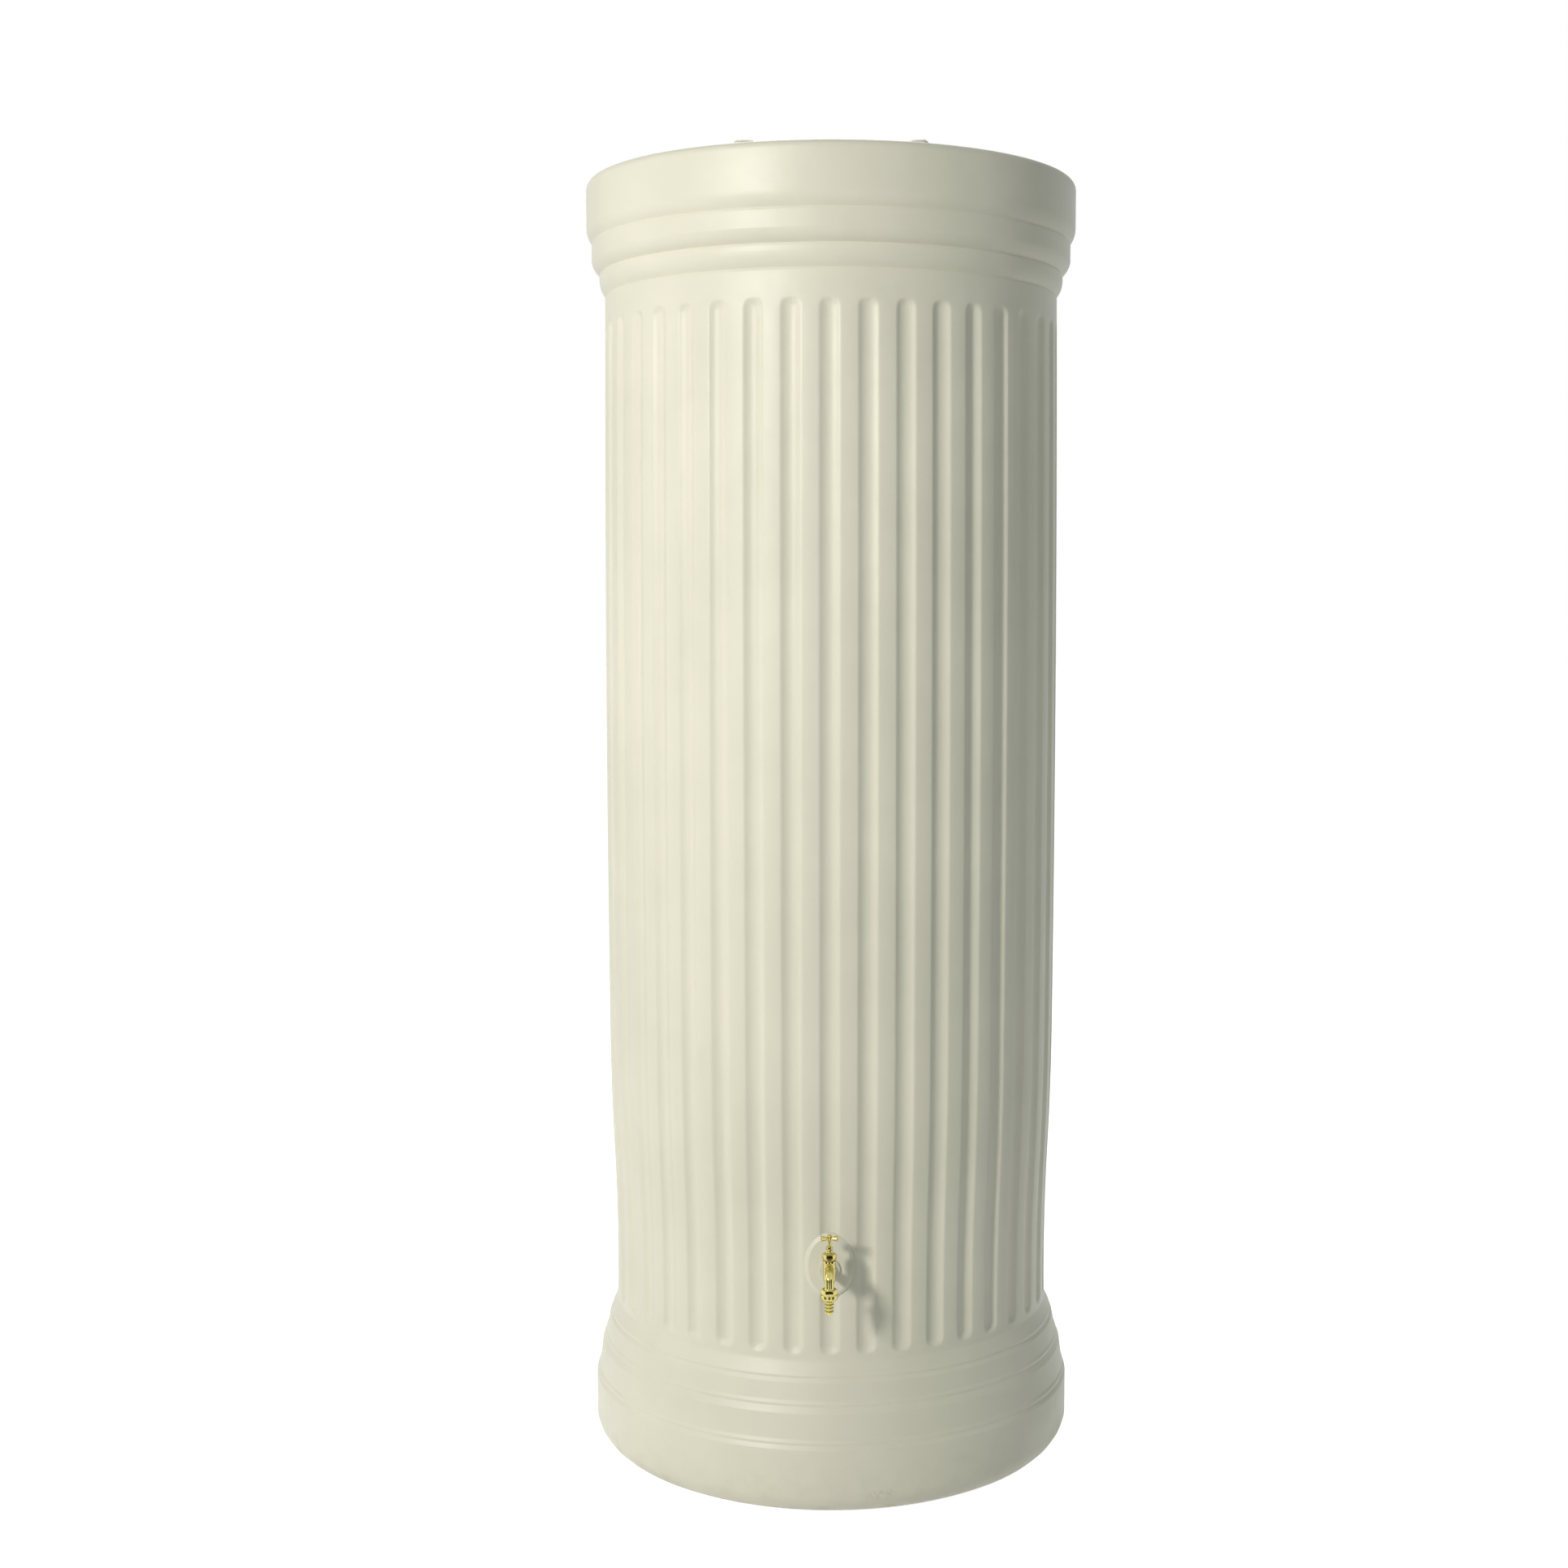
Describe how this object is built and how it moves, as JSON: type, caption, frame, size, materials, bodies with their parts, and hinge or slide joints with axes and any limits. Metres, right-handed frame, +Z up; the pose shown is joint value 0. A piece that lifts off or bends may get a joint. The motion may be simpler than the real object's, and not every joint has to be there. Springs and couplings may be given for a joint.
{
  "type": "water tank",
  "caption": "Tall round rainwater tank in the form of a fluted column with moulded base and capital, a screw lid on top and a small brass bib tap low on the front.",
  "frame": {"origin": "centre of the underside of the tank", "axes": "+Z up along the tank's axis, the tap faces -Y, +X to the right when looking at the tap"},
  "size_m": [0.5938, 0.6418, 1.61],
  "materials": {
    "tank_plastic": "satin, fine moulded texture",
    "brass": "polished",
    "pale_washer": "matt",
    "fibre_washer": "matt",
    "packing": "matt, greased cord",
    "black_rubber": "matt"
  },
  "bodies": {
    "tank": {"tank_body": "tank_plastic", "threaded_insert": "brass", "tap_seal": "pale_washer", "tap_body": "brass", "bonnet_gasket": "fibre_washer", "bonnet": "brass", "gland_packing": "packing", "gland_ring": "brass", "gland_nut": "brass"},
    "valve": {"valve_washer": "black_rubber", "valve_jumper": "brass", "jumper_nut": "brass"},
    "spindle": {"spindle": "brass", "tee_handle": "brass", "handle_pin": "brass"},
    "hose_connector": {"hose_tail": "brass", "hose_washer": "black_rubber"},
    "union_nut": {"union_nut": "brass"},
    "lid_seal": {"lid_seal": "black_rubber"},
    "lid": {"lid": "tank_plastic"}
  },
  "joints": [
    {"name": "valve_lift", "type": "slide", "parent": "tank", "child": "valve", "axis": [0, 0, 1], "range_m": [0, 0.004]},
    {"name": "spindle_turn", "type": "hinge", "parent": "valve", "child": "spindle", "pos_m": [0, -0.3093, 0.3315], "axis": [0, 0, 1], "range_deg": [0, 720]},
    {"name": "connector_drop", "type": "slide", "parent": "tank", "child": "hose_connector", "axis": [0, 0, -1], "range_m": [0, 0.00669]},
    {"name": "union_nut_turn", "type": "hinge", "parent": "hose_connector", "child": "union_nut", "pos_m": [0, -0.3353, 0.2775], "axis": [0, 0, -1], "range_deg": [0, 1800]},
    {"name": "lid_lift", "type": "slide", "parent": "tank", "child": "lid_seal", "axis": [0, 0, 1], "range_m": [0, 0.01201]},
    {"name": "lid_turn", "type": "hinge", "parent": "lid_seal", "child": "lid", "pos_m": [0, 0, 1.573], "axis": [0, 0, 1], "range_deg": [0, 540]}
  ],
  "couplings": [
    {"joint": "valve_lift", "follows": "spindle_turn", "m_per_rad": 0.00031831},
    {"joint": "connector_drop", "follows": "union_nut_turn", "m_per_rad": 0.00021279},
    {"joint": "lid_lift", "follows": "lid_turn", "m_per_rad": 0.0012732}
  ]
}
